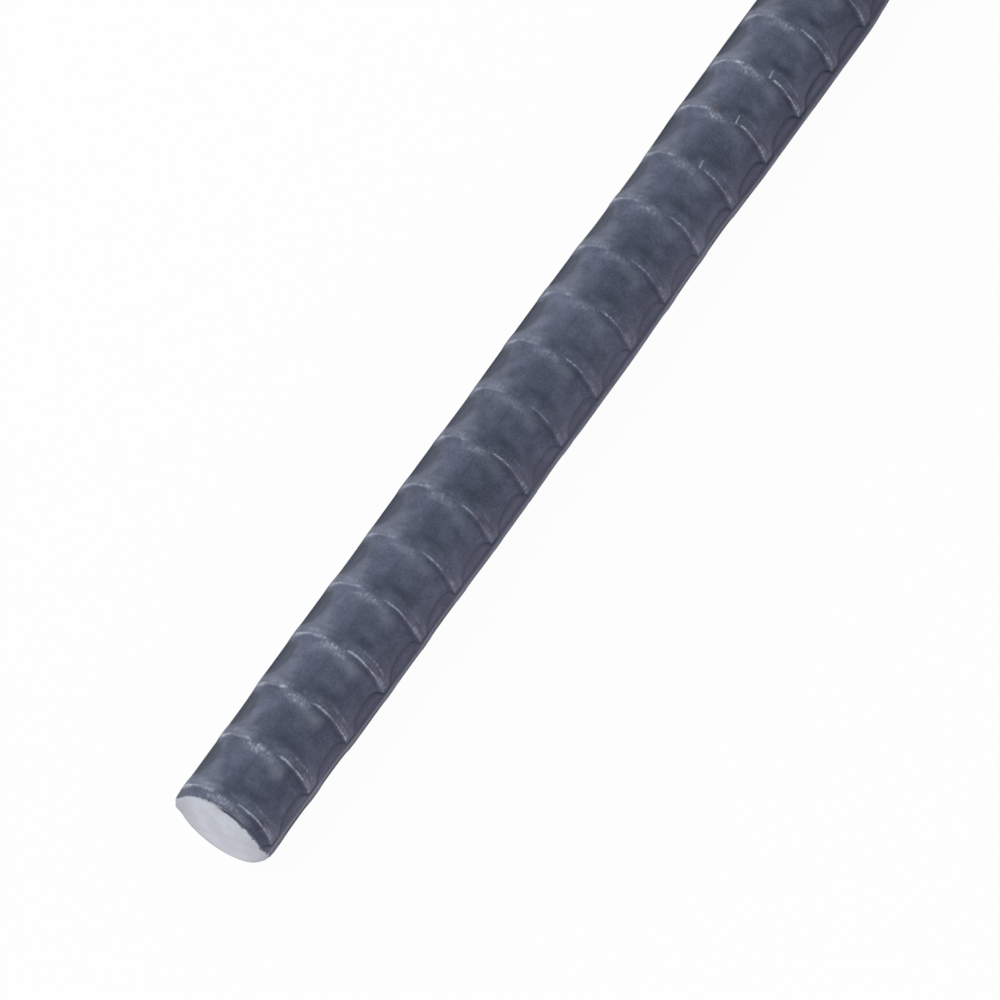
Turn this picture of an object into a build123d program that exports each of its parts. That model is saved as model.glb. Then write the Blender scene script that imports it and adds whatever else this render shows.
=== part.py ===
"""Deformed reinforcing bar, cut to a stock length. All sizes are in millimetres.

The bar is hot rolled and saw cut, so it is one solid: a round core with two longitudinal ribs,
left where the two rolls meet. Its axis lies along X, with mid-length at the origin. The ribs
point to +Y and -Y, as they do when the bar lies on a floor with a ribbed face up.
"""

from build123d import *
import math
import os

# Driving dimensions of a No. 4 bar, 12.7 mm nominal
BAR_LENGTH = 609.6  # a stock length, 2 ft
CORE_DIAMETER = 12.2  # round core, measured between the transverse ribs
RIB_HEIGHT = 0.95  # longitudinal rib, from the core's surface to its tip
RIB_TIP_WIDTH = 1.7  # flat land along the tip
RIB_BASE_WIDTH = 3.4  # between the lines where the two flanks run into the core
RIB_ROOT_FILLET = 1.5  # hollow between a flank and the core
RIB_TIP_FILLET = 0.25  # rounding along both edges of the land

# Sizes that follow from them
CORE_RADIUS = CORE_DIAMETER / 2
TIP_RADIUS = CORE_RADIUS + RIB_HEIGHT
BASE_RADIUS = math.sqrt(CORE_RADIUS**2 - (RIB_BASE_WIDTH / 2) ** 2)
FLANK_SPREAD = (RIB_BASE_WIDTH - RIB_TIP_WIDTH) / (TIP_RADIUS - BASE_RADIUS)
WIDTH_AT_AXIS = RIB_TIP_WIDTH + FLANK_SPREAD * TIP_RADIUS
ON_CORE = CORE_RADIUS + 0.01 * RIB_HEIGHT  # a corner within this reach lies on the core


def reach(corner):
    """Distance of a corner of the section from the bar's axis."""
    return Vector(corner).length


def rib_wedge():
    """One longitudinal rib, along the section's X, with its flanks carried on to the bar's axis."""
    outline = Polyline(
        (0, -WIDTH_AT_AXIS / 2),
        (TIP_RADIUS, -RIB_TIP_WIDTH / 2),
        (TIP_RADIUS, RIB_TIP_WIDTH / 2),
        (0, WIDTH_AT_AXIS / 2),
        close=True,
    )
    return make_face(outline)


def rolled_section():
    """The core with a rib on either side, its edges and hollows rounded as the rolls leave them."""
    section = Circle(CORE_RADIUS)
    for turn in (0, 180):
        section += Rot(Z=turn) * rib_wedge()
    land_edges = section.vertices().filter_by(lambda corner: reach(corner) > TIP_RADIUS)
    section = fillet(land_edges, RIB_TIP_FILLET)
    flank_feet = section.vertices().filter_by(lambda corner: reach(corner) < ON_CORE)
    return fillet(flank_feet, RIB_ROOT_FILLET)


def rebar():
    """The rolled section drawn along the bar's axis, cut square at both ends."""
    return extrude(Plane.YZ * rolled_section(), BAR_LENGTH / 2, both=True)


os.makedirs("parts", exist_ok=True)
export_step(rebar(), "parts/rebar.step")
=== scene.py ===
"""A cut length of deformed reinforcing bar, dressed for rendering and laid out as an add-on.

The bar lies along X, with a ribbed face up and its longitudinal ribs to +Y and -Y. Its blank is
drawn from one ring of points, the rolls' grooves press the transverse ribs into it, and a saw cuts
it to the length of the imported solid. Sizes and colours are properties, each job is an operator, and
a panel in the sidebar lists the jobs.
"""

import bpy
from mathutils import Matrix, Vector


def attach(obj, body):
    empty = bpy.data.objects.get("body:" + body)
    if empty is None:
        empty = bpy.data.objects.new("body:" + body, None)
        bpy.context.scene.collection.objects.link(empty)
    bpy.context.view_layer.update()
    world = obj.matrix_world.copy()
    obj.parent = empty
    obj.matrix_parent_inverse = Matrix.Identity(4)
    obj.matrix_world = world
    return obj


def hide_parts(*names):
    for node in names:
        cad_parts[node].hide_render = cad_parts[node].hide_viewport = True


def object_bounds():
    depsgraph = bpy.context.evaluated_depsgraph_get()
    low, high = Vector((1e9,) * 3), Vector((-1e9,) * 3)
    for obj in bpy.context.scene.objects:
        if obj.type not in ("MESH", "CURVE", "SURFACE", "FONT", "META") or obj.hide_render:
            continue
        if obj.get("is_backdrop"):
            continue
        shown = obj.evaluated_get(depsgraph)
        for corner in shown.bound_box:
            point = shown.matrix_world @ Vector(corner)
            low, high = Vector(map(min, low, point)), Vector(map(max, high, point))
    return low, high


bl_info = {
    "name": "Reinforcing Bar",
    "version": (1, 0, 0),
    "blender": (4, 5, 0),
    "location": "View3D > Sidebar > Rebar",
    "description": "Rolls a ribbed steel bar, saws it to length, finishes its surface and stages it",
    "category": "Add Mesh",
}

import functools
import math
import random
from typing import NamedTuple

import bmesh
import bpy
from bpy.props import FloatProperty, FloatVectorProperty, PointerProperty
from mathutils import Vector, noise

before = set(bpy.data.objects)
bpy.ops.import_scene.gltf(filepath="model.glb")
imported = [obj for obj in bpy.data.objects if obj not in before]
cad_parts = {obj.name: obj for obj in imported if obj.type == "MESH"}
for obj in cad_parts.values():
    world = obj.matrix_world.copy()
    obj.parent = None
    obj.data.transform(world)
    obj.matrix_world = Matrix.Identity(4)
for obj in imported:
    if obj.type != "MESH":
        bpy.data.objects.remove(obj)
CAD_LOW, CAD_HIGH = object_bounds()

MM = 0.001
BAR_NAME = "ribbed_bar"
MERGE_DISTANCE = 0.01 * MM

# Stations round one face, from one longitudinal rib to the other: an end angle and the steps to it
FACE_START = -90.0
FACE_STEPS = (
    (-83.0, 2),
    (-74.0, 3),
    (-66.0, 3),
    (-22.0, 9),
    (-12.0, 10),
    (66.0, 13),
    (74.0, 3),
    (83.0, 3),
    (90.0, 2),
)

# Stations along one spacing of the ribs, as distances before and beyond the edges of the crest
NEAR_STATIONS = (1.75 * MM, 1.0 * MM, 0.6 * MM, 0.32 * MM, 0.12 * MM, 0.0)
FAR_STATIONS = (0.0, 0.2 * MM, 0.5 * MM, 1.0 * MM, 1.75 * MM)

# How the lands swell: mm from the near cut, and the mm that the lands at +Y and -Y gain there
LAND_SWELLS = (
    (0.0, -0.20, -0.40),
    (15.0, -0.20, -0.30),
    (21.0, 0.05, -0.04),
    (33.0, 0.05, 0.06),
    (38.0, -0.12, -0.08),
    (50.0, 0.06, 0.16),
    (57.0, 0.08, 0.17),
    (61.0, -0.06, 0.12),
    (65.0, -0.11, 0.06),
    (72.0, 0.09, 0.20),
    (82.0, 0.16, 0.24),
    (90.0, 0.02, 0.10),
    (97.0, -0.22, -0.11),
    (105.0, -0.24, -0.22),
    (115.0, 0.19, 0.20),
    (132.0, 0.25, 0.26),
    (140.0, 0.22, 0.30),
    (150.0, -0.20, -0.40),
)

# The marks that a worn roll leaves come round once in each turn of the roll
ROLL_SEED = 9292
RIBS_PER_TURN = 31
MARKED_RIBS = (13, 14, 15)


class Patch(NamedTuple):
    """A patch of wear and painted highlight, or of dirt and painted shade, that each rib has, placed
    from the middle of its crest.

    Its angle is in degrees from the top and its place ahead in mm, each with the reach at which it
    ends. The even part of it isn't broken up by texture. Luck makes it differ from rib to rib, loose
    makes its outline wander, and a crisp patch keeps to the crisp half of the rib.
    """

    angle: float
    angle_reach: float
    ahead: float
    ahead_reach: float
    strength: float
    even: float = 0.2
    luck: float = 0.0
    loose: float = 0.0
    crisp: bool = False


class Spot(NamedTuple):
    """A spot of rust on the upper face, in mm from the near cut and degrees from the top."""

    along: float
    angle: float
    radius: float


WEAR_AND_HIGHLIGHT_PATCHES = (
    # The near edge of the crisp half, rubbed pale and partly a painted highlight, brightest where it
    # starts, and a painted sheen before it
    Patch(-26.0, 22.0, -0.59, 0.22, 1.40, even=0.2, luck=0.6, crisp=True),
    Patch(-52.0, 62.0, -0.59, 0.19, 1.06, even=0.10, luck=0.7, crisp=True),
    Patch(-22.0, 22.0, -1.9, 1.3, 0.12, even=0.6),
    Patch(-31.0, 15.0, -2.4, 1.6, 0.13, even=0.7),
    # Its far edge, and the end of its crest
    Patch(-52.0, 48.0, 0.6, 0.28, 0.30, even=0.0, luck=0.8, crisp=True),
    Patch(-66.0, 18.0, -0.4, 0.6, 0.75, even=0.2, luck=0.3),
    # Scuffs and a pale haze on the rounded near side of the soft half
    Patch(3.0, 24.0, -1.2, 0.85, 0.48, even=0.1, luck=0.8, loose=1.0),
    Patch(3.0, 30.0, -1.25, 0.95, 0.26, even=0.5, loose=1.0),
    Patch(-6.0, 34.0, -2.0, 1.4, 0.07, even=0.7),
    # The near edge of the soft half, a bright spot where it starts, and the end of its crest, rubbed
    # pale and partly a painted highlight where the end fans out and faces up
    Patch(54.0, 44.0, -0.6, 0.28, 0.75, luck=0.3),
    Patch(23.0, 11.0, -0.55, 0.4, 0.75, luck=0.3),
    Patch(36.0, 32.0, 0.1, 1.1, 0.31, even=0.5),
    Patch(63.0, 18.0, -0.75, 0.4, 0.76, even=0.5),
    # A painted highlight on the far side of the soft half, next to its end
    Patch(38.0, 15.0, 2.6, 2.8, 0.17, even=0.6),
    Patch(25.0, 16.0, 1.2, 0.8, 0.19, even=0.6),
    # The rest of the crest
    Patch(0.0, 180.0, 0.0, 0.8, 0.12, even=0.1),
)
SHADE_AND_DIRT_PATCHES = (
    # Painted shade at the far and near roots of the crisp half, and a darker patch on its crest
    Patch(-20.0, 36.0, 1.6, 1.3, 0.50, even=0.5, luck=0.3),
    Patch(-27.0, 14.0, 0.3, 0.75, 0.28, even=0.4, luck=-0.4),
    Patch(-50.0, 56.0, -1.05, 0.45, 0.44, even=0.5, crisp=True),
    # Painted shade on the far side of the soft half's end
    Patch(66.0, 18.0, 1.1, 1.2, 0.62, even=0.6),
    # The saddle where the halves meet
    Patch(1.0, 19.0, 0.1, 1.15, 0.46),
)
RUST_SPOTS = (
    Spot(116.0, 12.5, 0.9),
    Spot(50.6, -43.0, 0.9),
)


def smooth_step(low, high, value):
    """0 below low, 1 above high, and a smooth ramp between them."""
    share = min(max((value - low) / (high - low), 0.0), 1.0)
    return share * share * (3 - 2 * share)


def between(start, end, share):
    """The value that lies at a share of the way from start to end."""
    return start + (end - start) * share


def smooth_max(first, second, hollow):
    """The larger of two heights, with a hollow of that size where they cross."""
    overlap = max(hollow - abs(first - second), 0.0) / hollow
    return max(first, second) + overlap * overlap * hollow / 4


def smooth_min(first, second, rounding):
    """The smaller of two heights, with a rounding of that size where they cross."""
    return -smooth_max(-first, -second, rounding)


class BarSizes(bpy.types.PropertyGroup):
    """Sizes of the bar"""

    length: FloatProperty(
        name="Length",
        description="Cut length of the bar",
        default=CAD_HIGH.x - CAD_LOW.x,
        unit="LENGTH",
    )
    core_diameter: FloatProperty(
        name="Core diameter",
        description="Diameter of the round core between the ribs",
        default=12.2 * MM,
        unit="LENGTH",
    )
    tip_reach: FloatProperty(
        name="Tip reach",
        description="From the bar's axis to the land of a longitudinal rib",
        default=CAD_HIGH.y,
        unit="LENGTH",
    )
    land_width: FloatProperty(
        name="Land width",
        description="Width of the flat land along a longitudinal rib",
        default=1.7 * MM,
        unit="LENGTH",
    )
    foot_width: FloatProperty(
        name="Foot width",
        description="Width of a longitudinal rib where its flanks meet the core",
        default=3.4 * MM,
        unit="LENGTH",
    )
    spacing: FloatProperty(
        name="Rib spacing",
        description="From one transverse rib to the next",
        default=8.15 * MM,
        unit="LENGTH",
    )
    first_rib: FloatProperty(
        name="First rib",
        description="From the near cut to the crest of the first transverse rib",
        default=1.6 * MM,
        unit="LENGTH",
    )
    crest_width: FloatProperty(
        name="Crest width",
        description="Flat along the top of a transverse rib",
        default=1.25 * MM,
        unit="LENGTH",
    )
    crisp_height: FloatProperty(
        name="Crisp height",
        description="Height of a transverse rib on the half where it keeps a sharp edge",
        default=0.65 * MM,
        unit="LENGTH",
    )
    soft_height: FloatProperty(
        name="Soft height",
        description="Height of a transverse rib on the half where its edge is rounded over",
        default=0.55 * MM,
        unit="LENGTH",
    )
    rib_break: FloatProperty(
        name="Rib break",
        description="Where a transverse rib's crisp half steps down to its soft half, from the top",
        default=math.radians(-17.5),
        subtype="ANGLE",
    )
    rim_bevel: FloatProperty(
        name="Rim bevel",
        description="Broken edge round a sawn end",
        default=0.12 * MM,
        unit="LENGTH",
    )


class BarFinish(bpy.types.PropertyGroup):
    """Colours of the bar"""

    scale_dark: FloatVectorProperty(
        name="Dark scale",
        description="Mill scale where it is thick",
        default=(0.056, 0.066, 0.108),
        subtype="COLOR",
    )
    scale_light: FloatVectorProperty(
        name="Light scale",
        description="Mill scale where it is thin and dusty",
        default=(0.150, 0.172, 0.248),
        subtype="COLOR",
    )
    cool_tint: FloatVectorProperty(
        name="Cool tint",
        description="What the scale is multiplied by where it leans to green",
        default=(0.98, 0.995, 1.0),
        subtype="COLOR",
    )
    warm_tint: FloatVectorProperty(
        name="Warm tint",
        description="What the scale is multiplied by where it leans to purple",
        default=(1.0, 0.935, 0.975),
        subtype="COLOR",
    )
    # Also the colour of the painted highlights on the ribs' lit edges and fillets, and of the painted
    # light on the right-hand flanks
    worn_steel_and_highlight: FloatVectorProperty(
        name="Worn steel",
        description="Steel where handling has rubbed the scale off an edge",
        default=(0.44, 0.47, 0.57),
        subtype="COLOR",
    )
    # Also the colour of the painted shade in the left hollows, at the ribs' roots and along the top of a
    # face
    dirt_and_shade_colour: FloatVectorProperty(
        name="Crease dirt",
        description="Dirt and thick scale in the hollows beside the ribs",
        default=(0.024, 0.031, 0.059),
        subtype="COLOR",
    )
    rust: FloatVectorProperty(
        name="Rust",
        description="First specks of rust",
        default=(0.16, 0.075, 0.045),
        subtype="COLOR",
    )
    sawn_steel: FloatVectorProperty(
        name="Sawn steel",
        description="Fresh steel of the sawn ends",
        default=(0.610, 0.634, 0.710),
        subtype="COLOR",
    )


class StageSettings(bpy.types.PropertyGroup):
    """Floor, light and camera"""

    floor_size: FloatProperty(
        name="Floor size",
        description="Side of the square floor",
        default=40.0,
        unit="LENGTH",
    )
    floor_colour: FloatVectorProperty(
        name="Floor colour",
        description="Paper of the floor",
        default=(0.94, 0.94, 0.94),
        subtype="COLOR",
    )
    floor_glow: FloatProperty(
        name="Floor glow",
        description="Share of plain white in what the camera and reflections see of the floor",
        default=0.96,
        subtype="FACTOR",
    )
    tent_level: FloatProperty(
        name="Tent level",
        description="Brightness of the white tent at its top",
        default=0.88,
    )
    tent_lean: FloatProperty(
        name="Tent lean",
        description="How much brighter than its top the tent is towards +Y",
        default=0.18,
    )
    softbox_direction: FloatVectorProperty(
        name="Softbox direction",
        description="From the middle of the bar towards the softbox",
        default=(-0.10, 0.90, 0.42),
        subtype="XYZ",
    )
    softbox_distance: FloatProperty(
        name="Softbox distance",
        description="From the middle of the bar to the softbox",
        default=2.0,
        unit="LENGTH",
    )
    softbox_side: FloatProperty(
        name="Softbox side",
        description="Side of the square softbox",
        default=1.5,
        unit="LENGTH",
    )
    softbox_level: FloatProperty(
        name="Softbox level",
        description="Light of the softbox, which at 1 lights a white face to white by itself",
        default=0.25,
    )
    camera_place: FloatVectorProperty(
        name="Camera place",
        description="Camera, measured from the middle of the near cut end",
        default=(-267.5 * MM, -210.10 * MM, 708.5 * MM),
        subtype="TRANSLATION",
    )
    camera_turn: FloatVectorProperty(
        name="Camera turn",
        description="Tilt up from straight down, roll, and turn about the upright axis",
        default=(math.radians(28.45), 0.0, math.radians(-57.54)),
        subtype="EULER",
    )
    focal_length: FloatProperty(
        name="Focal length",
        description="Focal length in millimetres on a 36 mm sensor",
        default=233.55,
        subtype="DISTANCE_CAMERA",
    )
    camera_reach: FloatProperty(
        name="Camera reach",
        description="How far the camera sees",
        default=100.0,
        unit="LENGTH",
    )


class RolledForm:
    """The surface that the rolls leave: how far each point stands out from the round core."""

    # How sharply the halves of a rib meet, and the step between those of a marked rib
    soft_break = math.radians(4.0)
    marked_break = math.radians(1.4)
    marked_step = 0.07 * MM
    marked_fade = math.radians(22.0)
    unmarked = 90.0
    # How a transverse rib grows where it runs into a longitudinal one
    flare_start = math.radians(50.0)
    flare_end = math.radians(80.0)
    flare_height = 0.38
    flare_near = 0.25
    flare_far = 0.6
    # How far the sides of a rib reach, and how steeply they fall
    crisp_reach = 0.50 * MM
    crisp_power = 1.25
    soft_reach = 0.85 * MM
    soft_power = 1.5
    far_reach = 0.75 * MM
    far_power = 1.35
    # The hollows at the foot of a longitudinal rib, and how its land holds back what stands beside it
    crisp_hollow = 0.34 * MM
    soft_hollow = 0.90 * MM
    held_power = 0.2
    tip_rounding = 0.22 * MM
    least_across = 0.1
    # How a rib lies along the bar
    soft_lean = -0.15 * MM
    soft_end_lean = 0.25 * MM
    crisp_lean = -0.10 * MM
    crisp_end_lean = -0.32 * MM
    lean_start = math.radians(30.0)
    lean_end = math.radians(75.0)
    # What was dressed off the two lands at a cut
    left_dressing = 0.16 * MM
    right_dressing = 0.42 * MM
    dressed_length = 0.8 * MM
    # How the ribs differ from each other
    rib_wander = 0.05 * MM
    least_height = 0.94
    break_wander = math.radians(4.0)
    # The unevenness of the faces and of the ribs' edges, which is drawn apart for each face and rib
    grain_length = 9.0 * MM
    grain_turns = 2.1
    grain_apart = 3.0
    grain_depth = 0.03 * MM
    edge_turns = 4.0
    edge_apart = 8.0
    edge_wander = 0.06 * MM
    rib_apart = 3.7
    # A point this far below the axis still counts as one of the upper face
    level_slack = 1e-9

    def __init__(self, sizes):
        self.core = sizes.core_diameter / 2
        self.tip = sizes.tip_reach
        self.half_length = sizes.length / 2
        self.spacing = sizes.spacing
        self.half_crest = sizes.crest_width / 2
        self.crisp_height = sizes.crisp_height
        self.soft_height = sizes.soft_height
        self.rib_break = sizes.rib_break
        self.first_crest = -self.half_length + sizes.first_rib + self.half_crest
        foot_height = sizes.foot_width / 2
        foot = Vector((math.sqrt(self.core**2 - foot_height**2), foot_height))
        corner = Vector((sizes.tip_reach, sizes.land_width / 2))
        along = (corner - foot).normalized()
        self.flank_normal = Vector((-along.y, along.x))
        self.flank_distance = self.flank_normal.dot(foot)
        self.rib_count = math.ceil(sizes.length / sizes.spacing) + 2
        draw = random.Random(ROLL_SEED)
        ribs = range(self.rib_count + 2)
        self.shifts = [draw.uniform(-1, 1) * self.rib_wander for _ in ribs]
        self.heights = [draw.uniform(self.least_height, 1) for _ in ribs]
        self.breaks = [self.rib_break + draw.uniform(-1, 1) * self.break_wander for _ in ribs]

    def is_marked(self, rib):
        """True for a rib that a worn groove left with a step at its middle."""
        return rib % RIBS_PER_TURN in MARKED_RIBS

    def crisp_share(self, rib, hand):
        """1 on the half of a face where the ribs are crisp, 0 on the soft half."""
        width = self.marked_break if self.is_marked(rib) else self.soft_break
        return smooth_step(-width, width, self.breaks[rib] - hand)

    def lean(self, rib, hand):
        """How far a rib lies along the bar from its mean place, at an angle round the face."""
        lean = between(self.soft_lean, self.crisp_lean, self.crisp_share(rib, hand))
        end_lean = self.soft_end_lean if hand > 0 else self.crisp_end_lean
        towards_end = smooth_step(self.lean_start, self.lean_end, abs(hand))
        return lean + end_lean * towards_end + self.shifts[rib]

    def swell(self, place, left):
        """What the swelling of the land at +Y or -Y adds to its reach at a place along the bar."""
        along = ((place + self.half_length) / MM) % LAND_SWELLS[-1][0]
        column = 1 if left else 2
        for start, end in zip(LAND_SWELLS, LAND_SWELLS[1:]):
            if along <= end[0]:
                return between(start[column], end[column], smooth_step(start[0], end[0], along)) * MM
        return 0.0

    def flare(self, hand):
        """0 over most of a face, and 1 where a transverse rib runs into a longitudinal one."""
        return smooth_step(self.flare_start, self.flare_end, abs(hand))

    def rise(self, rib, ahead, hand):
        """Height of a transverse rib over the core, at a distance ahead of the middle of its crest."""
        crisp = self.crisp_share(rib, hand)
        flare = self.flare(hand)
        height = between(self.soft_height, self.crisp_height, crisp) * (1 + self.flare_height * flare)
        if self.is_marked(rib):
            by_step = smooth_step(-self.marked_fade, 0, hand - self.breaks[rib])
            height += self.marked_step * crisp * by_step
        height *= self.heights[rib]
        if ahead < -self.half_crest:
            reach = between(self.soft_reach, self.crisp_reach, crisp) * (1 + self.flare_near * flare)
            power = between(self.soft_power, self.crisp_power, crisp)
            distance = -self.half_crest - ahead
        elif ahead > self.half_crest:
            reach = self.far_reach * (1 + self.flare_far * flare)
            power = self.far_power
            distance = ahead - self.half_crest
        else:
            return height
        return height * math.exp(-((distance / reach) ** power))

    def beyond_step(self, rib, hand):
        """Degrees from a marked rib's step towards its crisp half, or a right angle on other ribs."""
        return math.degrees(self.breaks[rib] - hand) if self.is_marked(rib) else self.unmarked

    def flank(self, hand):
        """Height of a longitudinal rib's flank over the core, which is below 0 away from the rib."""
        turn = math.pi / 2 - abs(hand)
        direction = Vector((math.cos(turn), math.sin(turn)))
        return self.flank_distance / self.flank_normal.dot(direction) - self.core

    def reach(self, place, hand, upper):
        """How far the nearer land stands from the axis at a place along the bar."""
        left = hand * upper > 0
        from_cut = self.half_length - abs(place)
        depth = self.left_dressing if left else self.right_dressing
        dressed = depth * (1 - min(max(from_cut / self.dressed_length, 0.0), 1.0)) ** 2
        return self.tip + self.swell(place, left) - dressed

    def height(self, rise, hand, reach):
        """Height of the surface over the core. No transverse rib stands out past the nearer land."""
        across = max(math.sin(abs(hand)), self.least_across)
        held = smooth_min(rise, reach / across**self.held_power - self.core, self.tip_rounding)
        hollow = self.soft_hollow if hand > 0 else self.crisp_hollow
        body = smooth_max(held, self.flank(hand), hollow)
        return smooth_min(body, reach / across - self.core, self.tip_rounding)

    def grain(self, place, hand, upper):
        """Height that the slow unevenness of a rolled face adds or takes away."""
        where = Vector((place / self.grain_length, hand * self.grain_turns, self.grain_apart * upper))
        return self.grain_depth * noise.noise(where)

    def edge_drift(self, rib, hand, upper):
        """How far the edges of a rib stray along the bar."""
        where = Vector((rib * self.rib_apart, hand * self.edge_turns, self.edge_apart * upper))
        return self.edge_wander * noise.noise(where)


def face_angles():
    """Angles of the points round the bar, from the top towards +Y, closest at the edges of the ribs."""
    angles = []
    for turn in (0.0, 180.0):
        start = FACE_START
        for end, steps in FACE_STEPS:
            angles += [turn + between(start, end, step / steps) for step in range(steps)]
            start = end
    return [math.radians(angle) for angle in angles]


def spacing_stations(form):
    """Places of the rings along one spacing, from the middle of a pocket to the middle of the next."""
    near = [-form.half_crest - distance for distance in NEAR_STATIONS]
    far = [form.half_crest + distance for distance in FAR_STATIONS]
    return [-form.spacing / 2] + near + [0.0] + far + [form.spacing / 2]


def draw_spacing(mesh, form):
    """A plain round tube one spacing long, drawn from a ring of points, with a ring at each station."""
    angles = face_angles()
    stations = spacing_stations(form)
    ring = bmesh.ops.create_circle(mesh, cap_ends=False, radius=form.core, segments=len(angles))
    for vert, angle in zip(ring["verts"], angles):
        vert.co = (stations[0], form.core * math.sin(angle), form.core * math.cos(angle))
    edges = list(mesh.edges)
    for start, end in zip(stations, stations[1:]):
        drawn = bmesh.ops.extrude_edge_only(mesh, edges=edges)["geom"]
        verts = [part for part in drawn if isinstance(part, bmesh.types.BMVert)]
        edges = [part for part in drawn if isinstance(part, bmesh.types.BMEdge)]
        bmesh.ops.translate(mesh, vec=(end - start, 0, 0), verts=verts)


def repeat_spacing(mesh, form):
    """The tube repeated end to end until it is longer than the bar, with its joins merged."""
    first = list(mesh.verts) + list(mesh.edges) + list(mesh.faces)
    bmesh.ops.translate(mesh, vec=(form.first_crest - form.spacing, 0, 0), verts=list(mesh.verts))
    for count in range(1, form.rib_count):
        copy = bmesh.ops.duplicate(mesh, geom=first)["geom"]
        verts = [part for part in copy if isinstance(part, bmesh.types.BMVert)]
        bmesh.ops.translate(mesh, vec=(count * form.spacing, 0, 0), verts=verts)
    bmesh.ops.remove_doubles(mesh, verts=list(mesh.verts), dist=MERGE_DISTANCE)


def press_ribs(mesh, form):
    """Moves each point out to the surface that the rolls leave, and notes what the finish needs."""
    count_layer = mesh.verts.layers.float.new("rib_count")
    rise_layer = mesh.verts.layers.float.new("rise")
    flank_layer = mesh.verts.layers.float.new("flank")
    crisp_layer = mesh.verts.layers.float.new("crisp")
    step_layer = mesh.verts.layers.float.new("beyond_step")
    for vert in mesh.verts:
        upper = 1 if vert.co.z > -form.level_slack else -1
        hand = math.atan2(upper * vert.co.y, upper * vert.co.z)
        count = (vert.co.x - form.first_crest) / form.spacing
        rib = round(count)
        ahead = (count - rib) * form.spacing
        rise = form.rise(rib, ahead, hand)
        flank = form.flank(hand)
        reach = form.reach(vert.co.x, hand, upper)
        height = form.height(rise, hand, reach) + form.grain(vert.co.x, hand, upper)
        near_rib = math.cos(math.pi * ahead / form.spacing) ** 2
        outward = Vector((0, vert.co.y, vert.co.z)).normalized()
        vert[count_layer] = count
        vert[rise_layer] = rise / MM
        vert[flank_layer] = flank / MM
        vert[crisp_layer] = form.crisp_share(rib, hand)
        vert[step_layer] = form.beyond_step(rib, hand)
        vert.co = Vector((vert.co.x, 0, 0)) + outward * (form.core + height)
        vert.co.x += near_rib * (form.lean(rib, hand) + form.edge_drift(rib, hand, upper))


def saw_ends(mesh, sizes):
    """Cuts the bar square at both ends and closes it there. Returns the sawn faces."""
    sawn = []
    for side in (-1, 1):
        cut = Vector((side * sizes.length / 2, 0, 0))
        everything = list(mesh.verts) + list(mesh.edges) + list(mesh.faces)
        made = bmesh.ops.bisect_plane(
            mesh, geom=everything, plane_co=cut, plane_no=(side, 0, 0), clear_outer=True
        )["geom_cut"]
        rim = [part for part in made if isinstance(part, bmesh.types.BMEdge)]
        caps = bmesh.ops.contextual_create(mesh, geom=rim)["faces"]
        bevel = bmesh.ops.inset_region(
            mesh, faces=caps, thickness=sizes.rim_bevel, depth=0.0, use_even_offset=True
        )["faces"]
        rim_verts = list({vert for edge in rim for vert in edge.verts})
        bmesh.ops.translate(mesh, vec=(-side * sizes.rim_bevel, 0, 0), verts=rim_verts)
        sawn += caps + bevel
    return sawn


def make_object(name, mesh, materials):
    """A new object at the origin with that mesh and those materials."""
    data = bpy.data.meshes.new(name)
    mesh.to_mesh(data)
    mesh.free()
    for material in materials:
        data.materials.append(material)
    piece = bpy.data.objects.new(name, data)
    bpy.context.scene.collection.objects.link(piece)
    return piece


class Wire:
    """A node's output in an expression: arithmetic on it adds Math nodes to its finish."""

    def __init__(self, finish, socket):
        self.finish = finish
        self.socket = socket

    def __add__(self, other):
        return self.finish.maths("ADD", self, other)

    def __radd__(self, other):
        return self.finish.maths("ADD", other, self)

    def __sub__(self, other):
        return self.finish.maths("SUBTRACT", self, other)

    def __rsub__(self, other):
        return self.finish.maths("SUBTRACT", other, self)

    def __mul__(self, other):
        return self.finish.maths("MULTIPLY", self, other)

    def __rmul__(self, other):
        return self.finish.maths("MULTIPLY", other, self)

    def __abs__(self):
        return self.finish.maths("ABSOLUTE", self)

    def clamped(self):
        """The value held between 0 and 1."""
        return self.finish.maths("ADD", self, 0.0, clamp=True)


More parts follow.
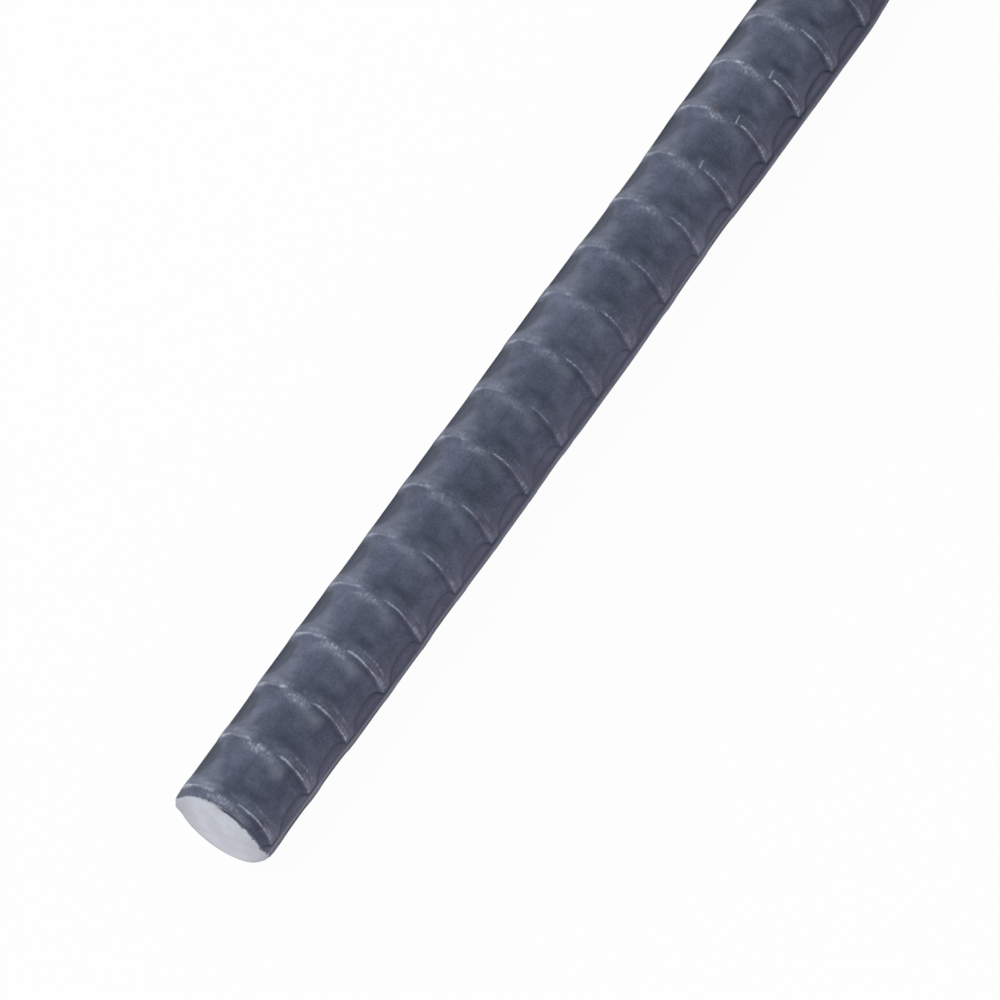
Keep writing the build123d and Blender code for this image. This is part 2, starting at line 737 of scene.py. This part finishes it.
class Finish:
    """A material or a world being put together from nodes."""

    def __init__(self, owner):
        self.owner = owner
        owner.use_nodes = True
        self.tree = owner.node_tree
        self.tree.nodes.clear()

    def node(self, kind, settings=None, inputs=None, output=0):
        """Adds a node, with its settings and then the values or links of its sockets."""
        node = self.tree.nodes.new(kind)
        for name, value in (settings or {}).items():
            setattr(node, name, value)
        for name, value in (inputs or {}).items():
            if isinstance(value, Wire):
                self.tree.links.new(value.socket, node.inputs[name])
            else:
                node.inputs[name].default_value = value
        return Wire(self, node.outputs[output]) if node.outputs else None

    def maths(self, operation, *terms, clamp=False):
        """The result of one operation on some terms."""
        settings = {"operation": operation, "use_clamp": clamp}
        return self.node("ShaderNodeMath", settings, dict(enumerate(terms)))

    @functools.cached_property
    def place_mm(self):
        """The place on the piece in millimetres."""
        place = self.node("ShaderNodeTexCoord", output="Object")
        return self.node("ShaderNodeVectorMath", {"operation": "SCALE"}, {0: place, "Scale": 1 / MM})

    def stretched(self, place, shares):
        """A place with each coordinate multiplied by its own share."""
        return self.node("ShaderNodeVectorMath", {"operation": "MULTIPLY"}, {0: place, 1: shares})

    def attribute(self, name):
        """A number noted on the mesh."""
        return self.node("ShaderNodeAttribute", {"attribute_name": name}, output="Fac")

    def axis(self, name, place=None):
        """One coordinate of a place, which is the place on the piece unless another is given."""
        return self.node("ShaderNodeSeparateXYZ", inputs={0: place or self.place_mm}, output=name)

    def distance(self, first, second):
        """How far a point with those two coordinates lies from their origin."""
        return self.maths("SQRT", first * first + second * second)

    def cloud(self, per_mm, detail, roughness, place=None):
        """Noise from 0 to 1 with that many cells to the millimetre."""
        look = {"Scale": per_mm, "Detail": detail, "Roughness": roughness}
        return self.node("ShaderNodeTexNoise", inputs={"Vector": place or self.place_mm, **look})

    def ramp(self, value, low, high):
        """A smooth ramp of a value, from 0 at low to 1 at high, which may be the smaller of the two."""
        settings = {"interpolation_type": "SMOOTHSTEP"}
        inputs = {"Value": value, "From Min": low, "From Max": high}
        return self.node("ShaderNodeMapRange", settings, inputs)

    def band(self, value, middle, reach):
        """1 where a value is at the middle, falling smoothly to 0 at that reach from it."""
        return 1 - self.ramp(abs(value - middle), 0.0, reach)

    def mix(self, share, first, second, blend="MIX"):
        """A colour between two, at that share of the way, or the first blended with the second."""
        settings = {"data_type": "RGBA", "blend_type": blend}
        inputs = {0: share, 6: self.colour(first), 7: self.colour(second)}
        return self.node("ShaderNodeMix", settings, inputs, output=2)

    @staticmethod
    def colour(value):
        """A colour property as four numbers, or a link as it is."""
        return value if isinstance(value, Wire) else (*value, 1.0)

    def bump(self, strength, depth, height):
        """A normal bent by a height from 0 to 1, which stands for that depth."""
        inputs = {"Strength": strength, "Distance": depth, "Height": height}
        return self.node("ShaderNodeBump", inputs=inputs)

    def surface(self, inputs):
        """Ends the finish in one Principled surface."""
        shader = self.node("ShaderNodeBsdfPrincipled", inputs=inputs)
        self.node("ShaderNodeOutputMaterial", inputs={"Surface": shader})
        return self.owner


class MillScale(Finish):
    """Blue-grey mill scale, rubbed pale and with painted highlights on the ribs' edges, and darkened by
    painted shade and dirt in the hollows beside them.

    Left and right are those of a face seen from the near cut: +Y is left on the upper face. Places
    ahead are in mm from the middle of the nearest crest, and angles in degrees from the middle of the
    face, towards its left.
    """

    # The scale itself
    metallic = 0.4
    specular = 0.4
    bump_strength = 0.4
    bump_depth = 0.05 * MM
    # How patches wander along the bar, in how many ribs their luck turns, and how far a loose one strays
    crest_wander = 0.22
    luck_period = 15
    loose_angle = 40.0
    loose_ahead = 1.5
    # How much darkening each place gets, from dirt and from painted shade in the left hollows and along
    # the top
    crease_share = 0.72
    left_shade_share = 0.68
    corner_share = 0.45
    stain_share = 0.10
    top_shade_share = 0.16
    far_share = 0.22
    # How much more the ribs are rubbed by the cuts, where hands hold the bar
    handled_gain = 0.9
    handled_crest = 0.05
    # How much the lands and the step of a marked rib are rubbed, how much painted light lifts the
    # right-hand flanks, and the burr's width
    land_wear = 0.06
    flank_painted_light = 0.085
    dash_wear = 0.7
    burr_width = 0.30
    # How much rust the specks, the lands and each spot have
    speck_rust = 0.4
    bloom_rust = 0.06
    spot_rust = 0.22

    def __init__(self, colours, form):
        super().__init__(bpy.data.materials.new("mill_scale"))
        self.colours = colours
        self.core = form.core / MM
        self.find_place(form.half_length / MM)
        self.draw_textures()
        self.find_rib(form.spacing / MM)
        self.draw_masks()

    def find_place(self, half_length):
        """Where on the bar a point lies."""
        along = self.axis("X")
        self.up = self.axis("Z")
        self.from_lands = abs(self.up)
        self.side = self.maths("SIGN", self.up)
        self.hand = self.maths("ARCTAN2", self.axis("Y") * self.side, self.from_lands) * math.degrees(1)
        self.around = self.hand * math.radians(self.core)
        self.from_near_cut = along + half_length
        self.from_cut = half_length - abs(along)
        self.rise = self.attribute("rise")
        self.flank = self.attribute("flank")
        self.crisp = self.attribute("crisp")

    def draw_textures(self):
        """The noises that break up the finish, from the coarsest to the finest."""
        self.mottle = self.cloud(0.42, 5.0, 0.62)
        self.patches = self.cloud(0.85, 3.0, 0.55)
        self.flecks = self.cloud(1.1, 4.0, 0.7)
        self.scuffs = self.cloud(2.8, 5.0, 0.72, self.stretched(self.place_mm, (0.5, 1.0, 1.0)))
        self.speckle = self.cloud(4.4, 3.0, 0.65)
        self.rubbed = self.ramp(self.scuffs, 0.42, 0.65)

    def find_rib(self, spacing):
        """Where a point lies beside the nearest rib, and what that rib has of its own."""
        count = self.attribute("rib_count")
        rib = self.maths("ROUND", count)
        self.ahead = (count - rib) * spacing + self.crest_wander * (self.patches - 0.5)
        self.hollow = 0.5 - 0.5 * self.maths("COSINE", self.ahead * (math.tau / spacing))
        along_rib = {"X": 2.6 * self.ahead, "Y": 0.55 * self.around, "Z": 9.0 * rib}
        streaks = self.cloud(1.0, 4.0, 0.65, self.node("ShaderNodeCombineXYZ", inputs=along_rib))
        self.broken = self.ramp(streaks, 0.41, 0.59)
        own = {"W": rib + 0.3 * self.side}
        chance = self.node("ShaderNodeTexWhiteNoise", {"noise_dimensions": "1D"}, own)
        wave = self.maths("COSINE", (rib - 1) * (math.tau / self.luck_period))
        self.luck = 0.3 + 0.3 * wave + 0.4 * chance

    def draw_masks(self):
        """The parts of the surface that the layers of the finish ask for."""
        self.on_face = self.ramp(self.rise - self.flank, -0.02, 0.12)
        self.left = self.ramp(self.hand, -30.0, 30.0)
        self.right = 1 - self.left
        handled = self.ramp(self.from_cut, 36.0, 24.0) * self.ramp(self.hand, -68.0, -50.0)
        self.handled = handled * (1 - 0.75 * self.left)
        beyond_step = self.attribute("beyond_step")
        on_crest = self.ramp(abs(self.ahead + 0.08), 0.72, 0.54)
        self.dash = self.band(beyond_step + 1.3 * (self.ahead + 0.7), 0.0, 1.15) * on_crest
        self.gap = self.ramp(abs(beyond_step - 3.2), 3.2, 2.0) * on_crest

    def patch(self, patch, texture):
        """The share of the surface that a patch covers, broken up by a texture."""
        hand = self.hand
        ahead = self.ahead
        if patch.loose:
            hand = hand + self.loose_angle * patch.loose * (self.flecks - 0.5)
            ahead = ahead + self.loose_ahead * patch.loose * (self.mottle - 0.5)
        share = self.band(hand, patch.angle, patch.angle_reach)
        share = share * self.band(ahead, patch.ahead, patch.ahead_reach)
        share = share * (patch.even + (1 - patch.even) * texture)
        if patch.luck:
            share = share * (1 + patch.luck * (2 * self.luck - 1))
        if patch.crisp:
            share = share * self.crisp * (1 - self.gap)
        return patch.strength * share

    def bare_scale(self):
        """The colour of the scale by itself, with painted shade darkening the left of a face, and a
        little paler by the cuts.
        """
        blotches = self.ramp(self.cloud(0.10, 4.0, 0.6), 0.33, 0.68)
        tone = 0.22 * blotches + 0.46 * self.ramp(self.mottle, 0.36, 0.68)
        tone = tone + 0.46 * self.ramp(self.speckle, 0.34, 0.70)
        # Painted shade: the left of a face is darkened
        tone = tone - 0.12 * self.ramp(self.hand, 8.0, 34.0)
        tone = tone + 0.14 * self.handled * self.band(self.hand, -15.0, 24.0)
        return self.mix(tone, self.colours.scale_dark, self.colours.scale_light)

    def tint(self):
        """What the colours are multiplied by: cool on the left of a face and warm on its right."""
        hues = 0.62 * self.cloud(0.14, 3.0, 0.6) + 0.38 * self.ramp(self.hand, -26.0, -48.0)
        return self.mix(self.ramp(hues, 0.36, 0.64), self.colours.cool_tint, self.colours.warm_tint)

    def crease(self):
        """Darkening along the foot of the right-hand longitudinal rib, heaviest by a transverse rib."""
        foot = self.band(self.rise - self.flank, 0.05, 0.48) * self.ramp(self.hand, -48.0, -62.0)
        uneven = (0.3 + 0.7 * self.ramp(self.mottle, 0.32, 0.6)) * (0.6 + 0.7 * self.luck)
        return foot * uneven * (0.65 + 0.35 * self.band(self.ahead, -0.6, 1.8))

    def corners(self):
        """Darkening along the corners of the lands."""
        on_right = 0.28 + 0.3 * self.ramp(self.mottle, 0.36, 0.56)
        shares = self.corner_share * self.left + on_right * self.right
        return shares * self.band(self.from_lands, 0.93, 0.30)

    def left_shade(self, on_flank):
        """Painted shade on the left of the pockets and on the flank next to them, but not on the ribs.
        """
        within = self.hand + 16.0 * (self.hollow - 1) + 12.0 * (self.flecks - 0.5)
        pocket = self.ramp(within, 43.0, 57.0) * self.ramp(self.rise, 0.50, 0.15)
        return (pocket + on_flank * self.left * (1 - pocket)) * self.ramp(self.hollow, 0.14, 0.38)

    def dirt_and_shade(self):
        """The share of darkening: painted shade in the left hollows, at the roots and along the top, and
        darkening in the creases, on the corners, in stains and on the right far from the near cut.
        """
        over_foot = self.flank - self.rise + 0.35 * self.left + 0.6 * (self.flecks - 0.5)
        on_flank = self.ramp(over_foot, -0.28, 0.22) * self.ramp(self.from_lands, 0.75, 0.95)
        stain = on_flank * self.right * self.ramp(self.cloud(0.08, 3.0, 0.6), 0.42, 0.62)
        # Painted shade along the top of a face
        top = self.band(self.hand, 2.0, 26.0) * self.ramp(self.mottle, 0.3, 0.6)
        far = self.ramp(self.from_near_cut, 92.0, 116.0) * self.ramp(self.hand, -38.0, -55.0)
        texture = self.ramp(self.flecks, 0.35, 0.6)
        # Painted shade at the ribs' roots, with a darker patch on the crisp crest and on the saddle
        roots = self.on_face * sum(self.patch(patch, texture) for patch in SHADE_AND_DIRT_PATCHES)
        dirt_and_shade = self.crease_share * self.crease() + self.left_shade_share * self.left_shade(on_flank)
        dirt_and_shade = dirt_and_shade + self.corners() + roots + self.stain_share * stain
        dirt_and_shade = dirt_and_shade + self.top_shade_share * top + self.far_share * far
        by_cut = self.ramp(self.from_cut, 2.2, 0.4) * self.ramp(self.hand, -35.0, -5.0)
        return (dirt_and_shade * (1 - by_cut)).clamped()

    def burr(self):
        """Torn bright steel along the cuts, widest at the tip of the longitudinal rib at -Y."""
        tip = self.ramp(self.axis("Y"), -5.8, -6.2) * self.ramp(self.up, 0.6, -0.1)
        width = self.burr_width * (1 + tip) + 0.9 * (self.scuffs - 0.5)
        torn = self.ramp(width - self.from_cut, 0.0, 0.15)
        spared = self.ramp(self.hand, 0.0, -12.0) * (1 - tip)
        return (0.6 + 0.3 * tip) * torn * (1 - spared)

    def wear_and_highlight(self):
        """The share of rubbed steel and painted highlight: on the ribs' edges and crests, on the lands
        and at the cuts, with painted light on the right-hand flanks.
        """
        scuffed = self.rubbed * (0.25 + 0.75 * self.broken)
        edges = sum(self.patch(patch, scuffed) for patch in WEAR_AND_HIGHLIGHT_PATCHES)
        edges = edges * self.ramp(self.from_lands, 1.05, 1.65)
        crest = self.band(self.ahead, 0.05, 0.85) * (0.4 + 0.6 * self.broken)
        gain = self.handled_gain * edges + self.handled_crest * crest
        ribs = edges + self.handled * gain
        land = self.ramp(self.from_lands, 0.75, 0.55) * self.rubbed
        # Painted light that lifts the right-hand flanks
        flank = (1 - self.on_face) * self.right
        wear_and_highlight = self.on_face * ribs + self.land_wear * land + self.flank_painted_light * flank
        return (wear_and_highlight + self.dash_wear * self.dash + self.burr()).clamped()

    def rust(self):
        """The share of rust: specks, a bloom on the lands and the few spots that stand out."""
        specks = self.ramp(self.patches, 0.70, 0.78) * self.ramp(self.speckle, 0.5, 0.7)
        bloom = self.ramp(self.from_lands, 0.85, 0.70) * self.ramp(self.mottle, 0.35, 0.65)
        rust = self.speck_rust * specks + self.bloom_rust * bloom
        on_upper_face = self.ramp(self.up, 0.0, 0.1)
        for spot in RUST_SPOTS:
            along = self.from_near_cut - spot.along
            around = self.around - math.radians(spot.angle) * self.core
            distance = self.distance(along, around) + 0.8 * (self.flecks - 0.5)
            rust = rust + self.spot_rust * self.ramp(distance, spot.radius, 0.0) * on_upper_face
        return rust.clamped()

    def build(self):
        """The finished material."""
        dirt_and_shade = self.dirt_and_shade()
        wear_and_highlight = self.wear_and_highlight()
        # Dirt and painted shade darken the scale; wear and painted highlights pale it
        base = self.mix(dirt_and_shade, self.bare_scale(), self.colours.dirt_and_shade_colour)
        base = self.mix(wear_and_highlight, base, self.colours.worn_steel_and_highlight)
        base = self.mix(1.0, base, self.tint(), "MULTIPLY")
        base = self.mix(self.rust(), base, self.colours.rust)
        relief = 0.6 * self.cloud(2.1, 4.0, 0.65) + 0.4 * self.mottle
        return self.surface(
            {
                "Base Color": base,
                "Roughness": 0.56 + 0.16 * (self.mottle - 0.5) - 0.08 * wear_and_highlight + 0.1 * dirt_and_shade,
                "Metallic": self.metallic,
                "Specular IOR Level": self.specular,
                "Normal": self.bump(self.bump_strength, self.bump_depth, relief),
            }
        )


class SawnSteel(Finish):
    """Bright steel with the fine straight marks of a saw, with painted shade and a little scale colour
    round its lower rim.
    """

    metallic = 0.85
    bump_strength = 0.3
    bump_depth = 0.03 * MM
    mark_angle = math.radians(14.0)
    mark_shares = (1.0, 0.12, 3.4)
    shade = 0.74

    def __init__(self, colours, form):
        super().__init__(bpy.data.materials.new("sawn_steel"))
        self.colours = colours
        self.core = form.core / MM

    def build(self):
        """The finished material."""
        turn = {"Vector": self.place_mm, "Angle": self.mark_angle}
        turned = self.node("ShaderNodeVectorRotate", {"rotation_type": "X_AXIS"}, turn)
        marks = self.cloud(1.0, 4.0, 0.6, self.stretched(turned, self.mark_shares))
        mottle = self.cloud(0.32, 4.0, 0.6)
        across = self.axis("Y")
        up = self.axis("Z")
        radius = self.distance(across, up)
        # Painted shade round the lower rim, where the rounded edge falls into shade, with a little scale
        # colour mixed in
        rim = self.ramp(radius, self.core - 0.70, self.core) * self.ramp(up, 2.0, -2.0)
        ends = self.ramp(abs(across), 2.5, 5.5)
        ragged = radius + 2.0 * (self.cloud(0.9, 3.0, 0.6) - 0.5)
        rolled = self.ramp(ragged, self.core - 0.58, self.core - 0.42)
        rolled = rolled * self.ramp(across, 0.9, -0.9) * self.ramp(up, 0.5, 1.3)
        tone = 0.3 + 0.3 * self.ramp(marks, 0.32, 0.68) + 0.5 * self.ramp(mottle, 0.30, 0.70)
        tone = tone - 0.5 * ends - 0.4 * rim
        shaded = [self.shade * part for part in self.colours.sawn_steel]
        base = self.mix(tone.clamped(), shaded, self.colours.sawn_steel)
        base = self.mix(0.15 * rim, base, self.colours.scale_light)
        base = self.mix(0.95 * rolled, base, self.colours.scale_dark)
        return self.surface(
            {
                "Base Color": base,
                "Roughness": 0.36 + 0.12 * marks,
                "Metallic": self.metallic,
                "Normal": self.bump(self.bump_strength, self.bump_depth, marks),
            }
        )


class REBAR_OT_roll_bar(bpy.types.Operator):
    """Rolls the ribbed bar, saws its ends and gives it its finish, in place of the plain solid"""

    bl_idname = "rebar.roll_bar"
    bl_label = "Roll Bar"

    def execute(self, context):
        sizes = context.scene.rebar_sizes
        colours = context.scene.rebar_finish
        form = RolledForm(sizes)
        mesh = bmesh.new()
        draw_spacing(mesh, form)
        repeat_spacing(mesh, form)
        press_ribs(mesh, form)
        for face in mesh.faces:
            face.smooth = True
        sawn = saw_ends(mesh, sizes)
        for face in sawn:
            face.material_index = 1
            face.smooth = False
        bmesh.ops.recalc_face_normals(mesh, faces=list(mesh.faces))
        if not all(edge.is_manifold for edge in mesh.edges):
            raise RuntimeError("The bar isn't closed")
        finishes = [MillScale(colours, form).build(), SawnSteel(colours, form).build()]
        bar = make_object(BAR_NAME, mesh, finishes)
        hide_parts("rebar")
        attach(bar, "root")
        return {"FINISHED"}


def paper_floor(settings):
    """White paper that keeps the bar's shadow and shows as white to the camera."""
    finish = Finish(bpy.data.materials.new("paper_floor"))
    paper = finish.node("ShaderNodeBsdfDiffuse", inputs={"Color": finish.colour(settings.floor_colour)})
    glow = finish.node("ShaderNodeEmission", inputs={"Strength": 1.0})
    rays = ("Is Camera Ray", "Is Glossy Ray", "Is Transmission Ray")
    camera, glossy, transmission = [finish.node("ShaderNodeLightPath", output=ray) for ray in rays]
    seen = (camera + glossy + transmission).clamped()
    share = settings.floor_glow * seen
    shader = finish.node("ShaderNodeMixShader", inputs={0: share, 1: paper, 2: glow})
    finish.node("ShaderNodeOutputMaterial", inputs={"Surface": shader})
    return finish.owner


def add_floor(settings):
    """A wide floor under the lowest point of the bar."""
    mesh = bmesh.new()
    bmesh.ops.create_grid(mesh, x_segments=1, y_segments=1, size=settings.floor_size / 2)
    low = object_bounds()[0]
    bmesh.ops.translate(mesh, vec=(0, 0, low.z), verts=list(mesh.verts))
    floor = make_object("floor", mesh, [paper_floor(settings)])
    floor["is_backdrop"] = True


def add_softbox(settings):
    """A square softbox that looks at the middle of the bar."""
    lamp = bpy.data.lights.new("key_softbox", "AREA")
    lamp.shape = "SQUARE"
    lamp.size = settings.softbox_side
    lamp.energy = settings.softbox_level * (math.pi * settings.softbox_distance) ** 2
    box = bpy.data.objects.new("key_softbox", lamp)
    towards = Vector(settings.softbox_direction).normalized()
    box.location = towards * settings.softbox_distance
    box.rotation_euler = towards.to_track_quat("Z", "Y").to_euler()
    box.visible_camera = False
    bpy.context.scene.collection.objects.link(box)


def set_world(settings):
    """A white tent that is brightest towards +Y."""
    world = bpy.data.worlds.new("tent")
    bpy.context.scene.world = world
    finish = Finish(world)
    direction = finish.node("ShaderNodeTexCoord", output="Generated")
    level = settings.tent_level + settings.tent_lean * finish.axis("Y", direction)
    background = finish.node("ShaderNodeBackground", inputs={"Strength": level})
    finish.node("ShaderNodeOutputWorld", inputs={"Surface": background})


def add_camera(settings, near_end):
    """The camera, above the near cut end and looking along the bar."""
    data = bpy.data.cameras.new("camera")
    data.lens = settings.focal_length
    data.clip_end = settings.camera_reach
    camera = bpy.data.objects.new("camera", data)
    camera.location = near_end + Vector(settings.camera_place)
    camera.rotation_euler = settings.camera_turn
    bpy.context.scene.collection.objects.link(camera)
    bpy.context.scene.camera = camera


class REBAR_OT_set_stage(bpy.types.Operator):
    """Sets the white floor, the soft lights and the camera"""

    bl_idname = "rebar.set_stage"
    bl_label = "Set Stage"

    def execute(self, context):
        settings = context.scene.rebar_stage
        add_floor(settings)
        set_world(settings)
        add_softbox(settings)
        near_end = Vector((-context.scene.rebar_sizes.length / 2, 0, 0))
        add_camera(settings, near_end)
        context.scene.view_settings.view_transform = "Standard"
        return {"FINISHED"}


class REBAR_PT_jobs(bpy.types.Panel):
    """Lists the jobs"""

    bl_idname = "REBAR_PT_jobs"
    bl_label = "Reinforcing Bar"
    bl_space_type = "VIEW_3D"
    bl_region_type = "UI"
    bl_category = "Rebar"

    def draw(self, context):
        for job in JOBS:
            self.layout.operator(job.bl_idname)


JOBS = (REBAR_OT_roll_bar, REBAR_OT_set_stage)
CLASSES = (BarSizes, BarFinish, StageSettings, *JOBS, REBAR_PT_jobs)


def register():
    for kind in CLASSES:
        bpy.utils.register_class(kind)
    bpy.types.Scene.rebar_sizes = PointerProperty(type=BarSizes)
    bpy.types.Scene.rebar_finish = PointerProperty(type=BarFinish)
    bpy.types.Scene.rebar_stage = PointerProperty(type=StageSettings)


def unregister():
    del bpy.types.Scene.rebar_stage
    del bpy.types.Scene.rebar_finish
    del bpy.types.Scene.rebar_sizes
    for kind in reversed(CLASSES):
        bpy.utils.unregister_class(kind)


def main():
    """Registers the add-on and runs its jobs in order."""
    register()
    bpy.ops.rebar.roll_bar()
    bpy.ops.rebar.set_stage()


if __name__ == "__main__":
    main()
